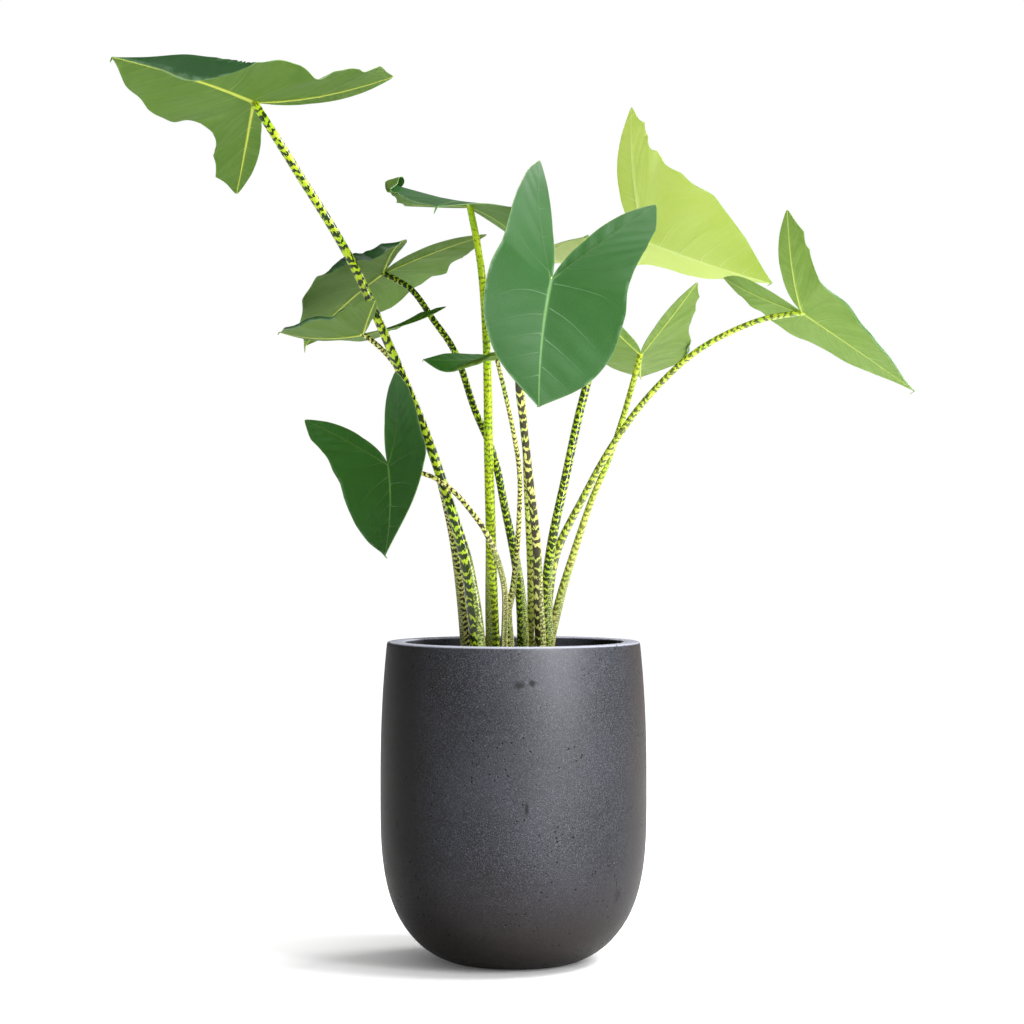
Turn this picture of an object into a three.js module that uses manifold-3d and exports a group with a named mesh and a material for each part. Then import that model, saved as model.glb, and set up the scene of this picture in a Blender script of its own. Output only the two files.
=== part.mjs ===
// Potted alocasia zebrina: eleven arrow-shaped leaves on zebra-striped stalks, in a round planter.
// Millimetres, +Z up. The origin is the middle of the planter's flat foot. +Y runs away from the front.

import * as THREE from "three";
import { mergeVertices } from "three/addons/utils/BufferGeometryUtils.js";
import Module from "manifold-3d";

const wasm = await Module();
wasm.setup();

// Planter: cast in one, an egg-shaped bowl that narrows to a flat foot
const planterHeight = 381;
const bellyRadius = 160;
const bellyLow = 195;
const bellyHigh = 215;
const bowlDepth = 202.8;
const rimRadius = 152;
const rimFlat = 21;
const rimEdge = 2.5;
const wall = 14;
const potSides = 36;

// Soil: fills the planter to a few fingers' width below its rim, a little higher in the middle
const soilTop = 336;
const soilMound = 5;
const soilRows = [26, 45, 75, 120, 180, 250, soilTop];
const floorRadius = 76;
const fit = 0.3;

// Leaves
const bladeThickness = 1.0;
const ribDepth = 2.2;
const dripShare = 0.045;
const dripWidth = 0.008;
const fullness = 2.3;
const tipHollow = 0.3;
const tipSpan = 0.1;
const waistRow = 1.12;
const waistSpan = 0.16;
const shoulderShare = 0.38;
const wideSpread = 0.7;
const blunt = 0.06;
const cheekBack = 0.22;
const cheekOut = 0.16;
const waveHeight = 0.018;
const wavesAHalf = 4;
const hookAngle = 60;
const rowsAhead = 8;
const rowsBehind = 8;
const columns = 4;
const stalkSides = 8;
const stalkFoot = 290;
const sheathHeight = 170;
const sheathWidth = 0.45;

// One entry a leaf. `joint` is where the stalk meets the blade. The turns are in degrees: yaw from +X
// towards +Y, pitch with the tip down, roll with the left half up. Lengths other than `length` are
// shares of it. In each half, `width` is its greatest width, `lobe` the lobe's length and `spread` its
// angle to the line of the midrib. `fold` is how far the half is raised at the joint, the tip and the
// lobe's tip, `curl` bends the lobe down, `bay` hollows its inner edge and `waist` notches the outline.
// `bow` bends the lobe's rib outwards, and `full` rounds the outline near the tip. `frill` is how high
// the margins wave, beside an even leaf's 1.
// `path` is the stalk's middle line from the rim of the planter up to the joint, and `radii` are its
// radii at the top, in the middle and at the soil. `sheath` is the side that its base widens to.
const leaves = [
  {
    name: "far_left",
    colour: 0x5c8a3c,
    joint: [-312, -10, 1029],
    turn: { yaw: -122, pitch: -7, roll: 10 },
    length: 217,
    droop: 0,
    sweep: -0.15,
    frill: 1.2,
    left: { width: 0.45, lobe: 0.91, spread: 36, fold: [5, -1, 47], curl: 13, bay: 0.07, waist: 0.05 },
    right: { width: 0.43, lobe: 0.95, spread: 43, fold: [-6, -14, -7], curl: 33, bay: 0.08, waist: 0.16 },
    path: [
      [-45, -8, 375], [-56, -8, 469], [-70, -7, 524], [-103, -6, 624],
      [-147, -12, 731], [-195, -18, 838], [-266, -16, 955],
    ],
    radii: [4.6, 5.6, 8],
    sheath: [1, 0],
  },
  {
    name: "left",
    colour: 0x7c9a5c,
    joint: [-162, 85, 833],
    turn: { yaw: 137, pitch: 23, roll: 0 },
    length: 162,
    droop: 16,
    sweep: 0.03,
    left: { width: 0.56, lobe: 0.92, spread: 33, fold: [3, -10, -12], curl: 13, bay: 0.06, waist: 0.03 },
    right: { width: 0.57, lobe: 0.88, spread: 24, fold: [2, -2, -10], curl: 0, bay: 0.14, waist: 0 },
    path: [
      [10, 14, 374], [8, 14, 430], [2, 15, 478], [-10, 18, 539], [-24, 24, 605],
      [-47, 32, 661], [-72, 46, 733], [-98, 58, 772], [-127, 72, 812],
    ],
    radii: [3.3, 4.4, 6],
    sheath: [1, 0],
  },
  {
    name: "left_low",
    colour: 0x7f9a62,
    joint: [-182, 16, 752],
    turn: { yaw: 145, pitch: 7, roll: 6 },
    length: 128,
    droop: -20,
    sweep: 0.07,
    left: { width: 0.53, lobe: 0.84, spread: 45, fold: [11, 7, 17], curl: 12, bay: 0.04, waist: 0.03 },
    right: { width: 0.55, lobe: 0.8, spread: 34, fold: [14, -3, 50], curl: 22, bay: 0.12, waist: 0.03 },
    path: [
      [-57, 12, 374], [-68, 12, 472], [-78, 12, 527], [-98, 12, 605],
      [-120, 13, 669], [-141, 14, 711], [-159, 15, 733],
    ],
    radii: [2.8, 3.4, 5],
    sheath: [-1, 0],
  },
  {
    name: "top",
    colour: 0x67824e,
    joint: [-53, 14, 907],
    turn: { yaw: -93, pitch: 1, roll: -19 },
    length: 183,
    droop: 18,
    sweep: -0.09,
    left: { width: 0.48, lobe: 1.0, spread: 24, fold: [8, 18, -14], curl: -1, bay: 0.13, waist: 0.03 },
    right: { width: 0.57, lobe: 0.96, spread: 33, fold: [-5, -17, -15], curl: -8, bay: 0.11, waist: 0.03 },
    path: [
      [-23, 4, 375], [-25, 5, 430], [-28, 8, 536], [-30, 11, 610],
      [-31, 14, 683], [-33, 16, 750], [-40, 16, 838],
    ],
    radii: [3.5, 5.5, 7],
    sheath: [-1, 0],
  },
  {
    name: "front",
    colour: 0x2f5d3a,
    joint: [43, -110, 803],
    turn: { yaw: -109, pitch: 58, roll: -38 },
    length: 168,
    droop: 2,
    sweep: 0.1,
    frill: 0.35,
    left: { width: 0.55, lobe: 1.1, spread: 35, fold: [19, 1, 6], curl: 1, bay: 0.08, waist: 0.03, full: 3.1 },
    right: {
      width: 0.52, lobe: 1.03, spread: 15, fold: [25, -10, 27], curl: 22, bay: 0.13, waist: 0.05, bow: 0.09,
      full: 3.1,
    },
    path: [
      [31, -14, 376], [29, -20, 426], [27, -34, 500], [19, -52, 573],
      [11, -74, 644], [6, -93, 687], [11, -110, 748],
    ],
    radii: [3.4, 4.5, 5.5],
    sheath: [1, 0],
  },
  {
    name: "upper_right",
    colour: 0xa9c26a,
    joint: [163, 100, 875],
    turn: { yaw: -15, pitch: 23, roll: -33 },
    length: 171,
    droop: -3,
    sweep: -0.06,
    frill: 0.5,
    left: { width: 0.57, lobe: 0.96, spread: 55, fold: [19, 29, 4], curl: 2, bay: 0.12, waist: 0.02 },
    right: {
      width: 0.64, lobe: 1.0, spread: 62, fold: [27, 5, 40], curl: -23, bay: 0.14, waist: -0.03, full: 2.9,
    },
    path: [
      [40, 2, 375], [39, 2, 445], [46, 4, 500], [62, 12, 574],
      [78, 24, 648], [91, 38, 700], [98, 52, 745], [122, 78, 812],
    ],
    radii: [4.8, 5.1, 5.6],
    sheath: [1, 0],
  },
  {
    name: "rear_small",
    colour: 0x9fbb66,
    joint: [40, 40, 851],
    turn: { yaw: 83, pitch: 0, roll: -12 },
    length: 107,
    droop: 0,
    sweep: -0.07,
    left: { width: 0.55, lobe: 1.0, spread: 19, fold: [6, 6, 19], curl: -1, bay: 0.12, waist: 0.03 },
    right: { width: 0.55, lobe: 1.02, spread: 29, fold: [10, 10, -6], curl: -1, bay: 0.14, waist: 0.03 },
    path: [
      [21, 28, 374], [21, 28, 425], [20, 28, 478], [16, 30, 574],
      [13, 33, 648], [10, 35, 695], [16, 38, 770],
    ],
    radii: [3.2, 3.7, 4.6],
    sheath: [0, 1],
  },
  {
    name: "right",
    colour: 0x8db35c,
    joint: [154, 20, 728],
    turn: { yaw: 88, pitch: 19, roll: -4 },
    length: 129,
    droop: -20,
    sweep: -0.03,
    left: { width: 0.41, lobe: 1.04, spread: 30, fold: [15, 19, 19], curl: 1, bay: 0.1, waist: 0.03 },
    right: { width: 0.53, lobe: 1.06, spread: 32, fold: [23, 10, 20], curl: -19, bay: 0.1, waist: 0.02 },
    path: [
      [43, 31, 374], [55, 30, 429], [74, 30, 490], [95, 29, 551],
      [114, 28, 596], [132, 26, 648], [144, 23, 690],
    ],
    radii: [3.2, 3.7, 5],
    sheath: [1, 0],
  },
  {
    name: "far_right",
    colour: 0x8fae66,
    joint: [341, -60, 771],
    turn: { yaw: 5, pitch: 33, roll: -15 },
    length: 162,
    droop: 4,
    sweep: -0.02,
    frill: 0.6,
    left: { width: 0.54, lobe: 0.87, spread: 46, fold: [7, 12, 6], curl: -31, bay: 0.19, waist: -0.05 },
    right: { width: 0.52, lobe: 0.9, spread: 52, fold: [3, -16, 37], curl: 1, bay: 0.11, waist: 0.05 },
    path: [
      [42, 17, 374], [43, 18, 430], [53, 18, 488], [84, 17, 553],
      [119, 10, 616], [164, -8, 677], [222, -28, 730], [292, -48, 763],
    ],
    radii: [3.1, 4.1, 5.4],
    sheath: [-1, 0],
  },
  {
    name: "low_left",
    colour: 0x355f3a,
    joint: [-150, -14, 592],
    turn: { yaw: -75, pitch: 58, roll: 50 },
    length: 124,
    droop: -9,
    sweep: -0.12,
    frill: 0.3,
    left: { width: 0.54, lobe: 1.0, spread: 37, fold: [9, 17, 29], curl: -42, bay: 0.18, waist: 0.04 },
    right: { width: 0.53, lobe: 1.05, spread: 41, fold: [11, -12, 30], curl: -29, bay: 0.1, waist: -0.04 },
    path: [
      [-11, -14, 376], [-11, -16, 446], [-21, -18, 484], [-35, -20, 515], [-50, -20, 536],
      [-69, -20, 558], [-93, -17, 576], [-122, -12, 586],
    ],
    radii: [2.6, 3, 4.2],
    sheath: [0, -1],
  },
  {
    name: "young",
    colour: 0x3f6b40,
    joint: [-20, -44, 718],
    turn: { yaw: 173, pitch: 5, roll: -16 },
    length: 88,
    droop: -9,
    sweep: -0.02,
    frill: 0.5,
    left: { width: 0.59, lobe: 0.8, spread: 28, fold: [14, -26, 8], curl: 9, bay: 0.12, waist: 0.03 },
    right: { width: 0.58, lobe: 0.8, spread: 28, fold: [-11, 12, 8], curl: 9, bay: 0.12, waist: 0.03 },
    path: [
      [-5, -3, 375], [-7, -3, 417], [-1, -3, 445], [4, -5, 491],
      [7, -11, 536], [7, -19, 585], [-3, -30, 646],
    ],
    radii: [2.5, 3, 4.2],
    sheath: [1, 0],
  },
];

// Solids are joined and cut as closed bodies whose corners are shared

function toSolid(geometry) {
  const bare = geometry.clone();
  bare.deleteAttribute("normal");
  bare.deleteAttribute("uv");
  const merged = mergeVertices(bare, 0.001);
  const corners = merged.index.array;
  const kept = [];
  for (let i = 0; i < corners.length; i += 3) {
    const [a, b, c] = [corners[i], corners[i + 1], corners[i + 2]];
    if (a !== b && b !== c && c !== a) {
      kept.push(a, b, c);
    }
  }
  return new wasm.Manifold(new wasm.Mesh({
    numProp: 3,
    vertProperties: Float32Array.from(merged.attributes.position.array),
    triVerts: Uint32Array.from(kept),
  }));
}

function toGeometry(solid) {
  const mesh = solid.getMesh();
  const geometry = new THREE.BufferGeometry();
  geometry.setAttribute("position", new THREE.BufferAttribute(mesh.vertProperties, mesh.numProp));
  geometry.setIndex(new THREE.BufferAttribute(mesh.triVerts, 1));
  geometry.computeVertexNormals();
  return geometry;
}

function indexed(points, triangles) {
  const geometry = new THREE.BufferGeometry();
  geometry.setFromPoints(points);
  geometry.setIndex(triangles);
  geometry.computeVertexNormals();
  return geometry;
}

function part(name, geometry, colour, roughness) {
  const material = new THREE.MeshStandardMaterial({ color: colour, roughness, metalness: 0 });
  const mesh = new THREE.Mesh(geometry, material);
  mesh.name = name;
  return mesh;
}

// A profile of [radius, height] pairs that starts and ends on the axis, turned round +Z

function turned(profile, sides) {
  const points = profile.map(([radius, height]) => new THREE.Vector2(radius, height));
  return new THREE.LatheGeometry(points, sides).rotateX(Math.PI / 2);
}

// Planter

function outerRadius(z) {
  if (z < bellyLow) {
    return bellyRadius * Math.cbrt(1 - ((bellyLow - z) / bowlDepth) ** 3);
  }
  if (z < bellyHigh) {
    return bellyRadius;
  }
  const rise = (z - bellyHigh) / (planterHeight - bellyHigh);
  return bellyRadius - (bellyRadius - rimRadius) * rise ** 2.2;
}

function innerRadius(z) {
  const lip = THREE.MathUtils.smoothstep(z, soilTop, planterHeight - rimEdge);
  return outerRadius(z) - wall - (rimFlat - wall) * lip;
}

function heights(from, to, steps) {
  return Array.from({ length: steps + 1 }, (_, i) => from + ((to - from) * i) / steps);
}

function planter() {
  const low = [0, 4, 12, 26, 48, 80, 125];
  const outside = [...low, ...heights(170, planterHeight - rimEdge, 6)].map((z) => [outerRadius(z), z]);
  const rim = [
    [rimRadius - rimEdge, planterHeight],
    [rimRadius - rimFlat + rimEdge, planterHeight],
  ];
  const lip = heights(planterHeight - rimEdge, soilTop, 3).map((z) => [innerRadius(z), z]);
  const inside = [...soilRows].reverse().map((z) => [innerRadius(z), z]);
  const profile = [[0, 0], ...outside, ...rim, ...lip, ...inside.slice(1), [floorRadius, wall], [0, wall]];
  return part("planter", turned(profile, potSides), 0x55565c, 0.6);
}

// Blade: each half spans from its spine to its outer margin, and its lobe from the spine to the inner
// margin. The spine is the midrib ahead of the joint and the lobe's rib behind it. A place on a half is
// `row`, 0 at the drip tip, 1 level with the joint and 2 at the lobe's tip. Flat points are [along,
// out], from the joint towards the tip and from the midrib to the side.

const radians = THREE.MathUtils.degToRad;

function mix(a, b, t) {
  return a.map((value, i) => value + (b[i] - value) * t);
}

function lobeTip(leaf, half) {
  const reach = half.lobe * leaf.length;
  const angle = radians(half.spread);
  return [-reach * Math.cos(angle), reach * Math.sin(angle)];
}

function spine(leaf, half, row) {
  if (row < 1) {
    return [leaf.length * (1 + dripShare) * (1 - row), 0];
  }
  const [back, out] = lobeTip(leaf, half);
  const bow = (half.bow ?? 0) * Math.sin(Math.PI * (row - 1));
  return [(row - 1) * back + bow * out, (row - 1) * out - bow * back];
}

// What rounds the end of a lobe: added to both its margins, as a share of its length

function blunting(q) {
  return blunt * Math.sqrt(1 - q) * THREE.MathUtils.clamp((q - 0.4) / 0.4, 0, 1);
}

function outerMargin(leaf, half, row) {
  const widest = half.width * leaf.length;
  const notch = 1 - half.waist * Math.exp(-(((row - waistRow) / waistSpan) ** 2));
  if (row < 1) {
    const x = row * (1 + dripShare) - dripShare;
    const taper = x < 0 ? Math.sqrt(1 + x / dripShare) : Math.max(0, 1 - x / tipSpan);
    const body = x < 0 ? 0 : (1 - (1 - x) ** (half.full ?? fullness)) * (1 - tipHollow * Math.exp(-x / tipSpan));
    return [leaf.length * (1 - x), (widest * body + dripWidth * leaf.length * taper) * notch];
  }
  const tip = lobeTip(leaf, half);
  const reach = half.lobe * leaf.length;
  const angle = radians(half.spread);
  const [cos, sin] = [Math.cos(angle), Math.sin(angle)];
  const beyond = Math.max(tip[1] - widest, 0) / 3;
  const shoulder = [-shoulderShare * reach * Math.min(cos / wideSpread, 1), widest + beyond];
  const cheek = [
    tip[0] + reach * (cheekBack * cos + cheekOut * sin),
    tip[1] + reach * (cheekOut * cos - cheekBack * sin) + beyond,
  ];
  const q = row - 1;
  const p = 1 - q;
  const bezier = (i) => 3 * p * p * q * shoulder[i] + 3 * p * q * q * cheek[i] + q ** 3 * tip[i];
  const end = reach * blunting(q);
  return [bezier(0) + end * sin, (p ** 3 * widest + bezier(1) + end * cos) * notch];
}

function innerMargin(leaf, half, row) {
  const q = row - 1;
  const angle = radians(half.spread);
  const bulge = half.lobe * leaf.length * (half.bay * Math.sin(Math.PI * q ** 0.8) + blunting(q));
  const [along, out] = spine(leaf, half, row);
  return [along - bulge * Math.sin(angle), out - bulge * Math.cos(angle)];
}

// How far a rib of length 1 that turns evenly through `total` runs on and drops by its share q

function bend(total, q) {
  const angle = radians(total);
  if (Math.abs(angle) < 0.001) {
    return { angle: 0, run: q, drop: 0 };
  }
  return {
    angle: angle * q,
    run: Math.sin(angle * q) / angle,
    drop: (1 - Math.cos(angle * q)) / angle,
  };
}

function axesOf(leaf) {
  const [yaw, pitch, roll] = [leaf.turn.yaw, leaf.turn.pitch, leaf.turn.roll].map(radians);
  const forward = new THREE.Vector3(
    Math.cos(pitch) * Math.cos(yaw),
    Math.cos(pitch) * Math.sin(yaw),
    -Math.sin(pitch),
  );
  const left = new THREE.Vector3(-Math.sin(yaw), Math.cos(yaw), 0);
  const up = new THREE.Vector3().crossVectors(forward, left);
  left.applyAxisAngle(forward, roll);
  up.applyAxisAngle(forward, roll);
  return { forward, left, up };
}

// The margins wave up and down, more so towards the edge, and lie still at the tips. Each leaf's waves
// start at another place.

function wave(leaf, side, row, across) {
  const phase = leaf.joint[0] / 20 + side;
  const swell = Math.sin(Math.PI * wavesAHalf * row + phase) * Math.sin((Math.PI * row) / 2);
  return waveHeight * (leaf.frill ?? 1) * leaf.length * swell * across ** 2;
}

function bladePoint(leaf, side, [along, out], lift) {
  const half = side > 0 ? leaf.left : leaf.right;
  const reach = half.lobe * leaf.length;
  const ahead = Math.max(along / leaf.length, 0);
  const behind = Math.min(Math.max(-along / reach, 0), 1);
  const [atJoint, atTip, atLobe] = half.fold;
  const fold = radians(
    atJoint + (atTip - atJoint) * Math.min(ahead, 1) + (atLobe - atJoint) * behind,
  );
  const raised = out * Math.sin(fold) + lift;
  const rib = along >= 0 ? bend(leaf.droop, ahead) : bend(half.curl, behind);
  const hook = Math.max(along / leaf.length - 1, 0);
  rib.run -= hook * (1 - Math.cos(radians(hookAngle)));
  rib.drop += hook * Math.sin(radians(hookAngle));
  const scale = along >= 0 ? leaf.length : reach;
  const run = (scale * rib.run + raised * Math.sin(rib.angle)) * (along >= 0 ? 1 : -1);
  const height = raised * Math.cos(rib.angle) - scale * rib.drop;
  const sideways = side * out * Math.cos(fold) + leaf.sweep * leaf.length * Math.min(ahead, 1) ** 2;
  const { forward, left, up } = axesOf(leaf);
  return new THREE.Vector3(...leaf.joint)
    .addScaledVector(forward, run)
    .addScaledVector(left, sideways)
    .addScaledVector(up, height);
}

// The blade's middle surface: corners with the depth of rib under them, and triangles seen from above

function bladeSheet(leaf) {
  const points = [];
  const ribs = [];
  const triangles = [];
  const seen = new Map();

  function corner(side, flat, lift, rib) {
    const point = bladePoint(leaf, side, flat, lift);
    const key = point.toArray().map((value) => value.toFixed(2)).join();
    if (!seen.has(key)) {
      seen.set(key, points.length);
      points.push(point);
      ribs.push(rib);
    }
    return seen.get(key);
  }

  function face(side, a, b, c) {
    if (a !== b && b !== c && c !== a) {
      triangles.push(...(side > 0 ? [a, b, c] : [a, c, b]));
    }
  }

  function patch(side, rows, turn) {
    for (let i = 1; i < rows.length; i += 1) {
      for (let j = 1; j < rows[i].length; j += 1) {
        const [a, b] = [rows[i - 1][j - 1], rows[i - 1][j]];
        const [c, d] = [rows[i][j - 1], rows[i][j]];
        face(side * turn, a, b, d);
        face(side * turn, a, d, c);
      }
    }
  }

  const start = dripShare / (1 + dripShare);
  const ahead = heights(start, 1, rowsAhead);
  const behind = heights(1, 2, rowsBehind);
  for (const side of [1, -1]) {
    const half = side > 0 ? leaf.left : leaf.right;
    const ribAt = (row) => ribDepth * (1 - Math.abs(row - 1));
    const outer = [0, ...ahead, ...behind.slice(1)].map((row) => heights(0, 1, columns).map((across) => {
      const flat = mix(spine(leaf, half, row), outerMargin(leaf, half, row), across);
      return corner(side, flat, wave(leaf, side, row, across), across > 0 ? 0 : ribAt(row));
    }));
    const inner = behind.map((row) => [
      corner(side, spine(leaf, half, row), 0, ribAt(row)),
      corner(side, innerMargin(leaf, half, row), 0, 0),
    ]);
    patch(side, outer, 1);
    patch(side, inner, -1);
  }
  return { points, ribs, triangles };
}

// A sheet given its thickness: both faces are split alike, and a band closes the edge between them

function thicken({ points, ribs, triangles }, spare) {
  const sheet = indexed(points, triangles);
  const normals = sheet.attributes.normal;
  const above = [];
  const below = [];
  points.forEach((point, i) => {
    const normal = new THREE.Vector3().fromBufferAttribute(normals, i);
    const half = bladeThickness / 2 + spare;
    above.push(point.clone().addScaledVector(normal, half));
    below.push(point.clone().addScaledVector(normal, -half - ribs[i]));
  });
  const faces = [];
  const edges = new Map();
  for (let i = 0; i < triangles.length; i += 3) {
    const [a, b, c] = triangles.slice(i, i + 3);
    faces.push(a, b, c);
    faces.push(a + points.length, c + points.length, b + points.length);
    for (const [from, to] of [[a, b], [b, c], [c, a]]) {
      edges.set(`${from},${to}`, [from, to]);
    }
  }
  for (const [from, to] of edges.values()) {
    if (!edges.has(`${to},${from}`)) {
      const [under, underTo] = [from + points.length, to + points.length];
      faces.push(from, under, underTo);
      faces.push(from, underTo, to);
    }
  }
  return indexed([...above, ...below], faces);
}

// Stalk: a round tapering rod along its path, whose base widens to one side as the sheath that
// clasps the younger stalks. Its top is cut along the underside of its blade.

function stalkRadius([top, middle, base], share) {
  return share < 0.5 ? base + (middle - base) * share * 2 : middle + (top - middle) * (share * 2 - 1);
}

function stalkRod(leaf, spare) {
  const [x, y] = leaf.path[0];
  const route = [[x, y, stalkFoot - spare], ...leaf.path, leaf.joint].map((p) => new THREE.Vector3(...p));
  const [last, joint] = route.slice(-2);
  const direction = joint.clone().sub(last).normalize();
  route.push(joint.clone().addScaledVector(direction, 3 * leaf.radii[0]));
  const curve = new THREE.CatmullRomCurve3(route, false, "centripetal");
  const steps = 2 * (route.length - 1);
  const clasp = new THREE.Vector3(leaf.sheath[0], leaf.sheath[1], 0);
  const points = [];
  const faces = [];
  for (let i = 0; i <= steps; i += 1) {
    const centre = curve.getPoint(i / steps);
    const along = curve.getTangent(i / steps);
    const across = new THREE.Vector3(0, 1, 0).addScaledVector(along, -along.y).normalize();
    const third = new THREE.Vector3().crossVectors(along, across);
    const radius = stalkRadius(leaf.radii, i / steps) + spare;
    const sheath = 1 - THREE.MathUtils.smoothstep(centre.z, planterHeight, planterHeight + sheathHeight);
    for (let j = 0; j < stalkSides; j += 1) {
      const angle = (2 * Math.PI * j) / stalkSides;
      const out = new THREE.Vector3()
        .addScaledVector(across, Math.cos(angle))
        .addScaledVector(third, Math.sin(angle));
      const widening = sheathWidth * sheath * Math.max(out.dot(clasp), 0) ** 2;
      points.push(centre.clone().addScaledVector(out, radius * (1 + widening)));
      if (i > 0) {
        const [a, b] = [i * stalkSides + j, i * stalkSides + ((j + 1) % stalkSides)];
        faces.push(a - stalkSides, b - stalkSides, b);
        faces.push(a - stalkSides, b, a);
      }
    }
  }
  const top = steps * stalkSides;
  for (let j = 1; j < stalkSides - 1; j += 1) {
    faces.push(0, j + 1, j);
    faces.push(top, top + j, top + j + 1);
  }
  return toSolid(indexed(points, faces));
}

// Everything above the blade's underside at the joint, as a block that is cut from the rod

function aboveJoint(leaf) {
  const { forward, left, up } = axesOf(leaf);
  const depth = 60;
  const underside = bladeThickness / 2 + ribDepth + fit;
  const block = new THREE.BoxGeometry(depth, depth, depth);
  block.applyMatrix4(new THREE.Matrix4().makeBasis(forward, left, up));
  const middle = new THREE.Vector3(...leaf.joint).addScaledVector(up, depth / 2 - underside);
  return toSolid(block.translate(middle.x, middle.y, middle.z));
}

function stalk(leaf, sheet) {
  const cut = stalkRod(leaf, 0).subtract(aboveJoint(leaf)).subtract(toSolid(thicken(sheet, fit)));
  const pieces = cut.decompose().sort((a, b) => b.volume() - a.volume());
  return part(`stalk_${leaf.name}`, toGeometry(pieces[0]), 0xb4c257, 0.45);
}

// Soil: one body to the planter's wall, with a plain hole for each stalk

function soil() {
  const low = wall + fit;
  const side = soilRows.map((z) => [innerRadius(z) - fit, z + fit]);
  const mound = [0.66, 0.33, 0].map((share) => [
    side.at(-1)[0] * share,
    soilTop + fit + soilMound * (1 - share ** 2),
  ]);
  let body = toSolid(turned([[0, low], [floorRadius - fit, low], ...side, ...mound], potSides));
  for (const leaf of leaves) {
    body = body.subtract(stalkRod(leaf, fit));
  }
  return part("soil", toGeometry(body), 0x3a2c22, 0.95);
}

const pottedAlocasia = new THREE.Group();
pottedAlocasia.add(planter(), soil());
for (const leaf of leaves) {
  const sheet = bladeSheet(leaf);
  pottedAlocasia.add(part(`blade_${leaf.name}`, thicken(sheet, 0), leaf.colour, 0.45));
  pottedAlocasia.add(stalk(leaf, sheet));
}

export default pottedAlocasia;
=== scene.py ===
# Potted Alocasia zebrina: arrow-shaped leaves on zebra-striped stalks, in a round planter of dark
# fibre clay. Metres, +Z up, +Y away from the front. The origin is the middle of the planter's foot.

import math
import random

import bpy
import numpy as np
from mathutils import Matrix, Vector, noise


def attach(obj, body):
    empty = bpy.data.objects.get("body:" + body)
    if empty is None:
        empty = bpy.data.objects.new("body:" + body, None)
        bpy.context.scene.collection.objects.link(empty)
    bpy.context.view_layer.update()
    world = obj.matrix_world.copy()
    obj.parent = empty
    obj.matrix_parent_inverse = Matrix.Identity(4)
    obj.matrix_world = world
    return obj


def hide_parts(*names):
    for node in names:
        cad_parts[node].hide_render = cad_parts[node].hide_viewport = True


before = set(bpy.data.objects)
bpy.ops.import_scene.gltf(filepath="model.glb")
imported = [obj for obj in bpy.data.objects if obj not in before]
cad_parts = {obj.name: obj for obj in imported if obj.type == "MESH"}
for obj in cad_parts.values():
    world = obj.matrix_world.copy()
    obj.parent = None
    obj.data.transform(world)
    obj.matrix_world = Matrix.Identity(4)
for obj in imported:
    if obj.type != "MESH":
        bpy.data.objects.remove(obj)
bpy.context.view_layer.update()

# Planter. One vessel cast in fibre clay and washed with dark pigment: an egg-shaped bowl on a flat
# foot, with a rounded rim that is thicker than the wall. It has a fine sandy grain, small pits where
# air was caught against the mould, and smudges from handling.

planter_height = 0.381
belly_radius = 0.16
belly_low = 0.195
belly_high = 0.215
bowl_depth = 0.2028
rim_radius = 0.152
rim_flat = 0.021
rim_edge = 0.0025
wall = 0.014
soil_top = 0.336
inside_floor = 0.076
bowl_inside = 0.026
bowl_power = 3
shoulder_power = 2.2
planter_sides = 96


def outer_radius(z):
    """The planter's radius at a height: a bowl, a short straight belly, and a shoulder drawn in."""
    if z < belly_low:
        return belly_radius * (1 - ((belly_low - z) / bowl_depth) ** bowl_power) ** (1 / bowl_power)
    if z < belly_high:
        return belly_radius
    rise = (z - belly_high) / (planter_height - belly_high)
    return belly_radius - (belly_radius - rim_radius) * rise ** shoulder_power


def inner_radius(z):
    """The inside's radius at a height: an even wall that thickens towards the rim above the soil."""
    share = min(max((z - soil_top) / (planter_height - rim_edge - soil_top), 0), 1)
    lip = share * share * (3 - 2 * share)
    return outer_radius(z) - wall - (rim_flat - wall) * lip


def pick(*objects):
    """Selects these objects alone, the first of them active."""
    bpy.ops.object.select_all(action="DESELECT")
    for item in objects:
        item.select_set(True)
    bpy.context.view_layer.objects.active = objects[0]


def turned(name, profile, sides):
    """A ring of edges that is drawn up through a profile of (radius, height) and closed at both ends."""
    bpy.ops.object.select_all(action="DESELECT")
    radius, height = profile[0]
    bpy.ops.mesh.primitive_circle_add(vertices=sides, radius=radius, location=(0, 0, height))
    vessel = bpy.context.object
    vessel.name = name
    bpy.ops.object.transform_apply()
    bpy.ops.object.mode_set(mode="EDIT")
    bpy.ops.mesh.select_all(action="SELECT")
    bpy.ops.mesh.extrude_region_move()
    bpy.ops.mesh.merge(type="CENTER")
    bpy.ops.mesh.select_all(action="DESELECT")
    bpy.ops.object.mode_set(mode="OBJECT")
    for vertex in vessel.data.vertices:
        vertex.select = math.hypot(*vertex.co[:2]) > radius / 2
    bpy.ops.object.mode_set(mode="EDIT")
    bpy.ops.mesh.select_mode(type="VERT")
    for next_radius, next_height in profile[1:]:
        bpy.ops.mesh.extrude_region_move(
            TRANSFORM_OT_translate={"value": (0, 0, next_height - height)})
        scale = next_radius / radius
        bpy.ops.transform.resize(value=(scale, scale, 1), center_override=(0, 0, next_height))
        radius, height = next_radius, next_height
    bpy.ops.mesh.extrude_region_move()
    bpy.ops.mesh.merge(type="CENTER")
    bpy.ops.mesh.select_all(action="SELECT")
    bpy.ops.mesh.normals_make_consistent(inside=False)
    bpy.ops.object.mode_set(mode="OBJECT")
    return vessel


def modified(piece, kind, **settings):
    """Adds a modifier with these settings and applies it."""
    pick(piece)
    modifier = piece.modifiers.new(kind.lower(), kind)
    for key, value in settings.items():
        setattr(modifier, key, value)
    bpy.ops.object.modifier_apply(modifier=modifier.name)


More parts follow.
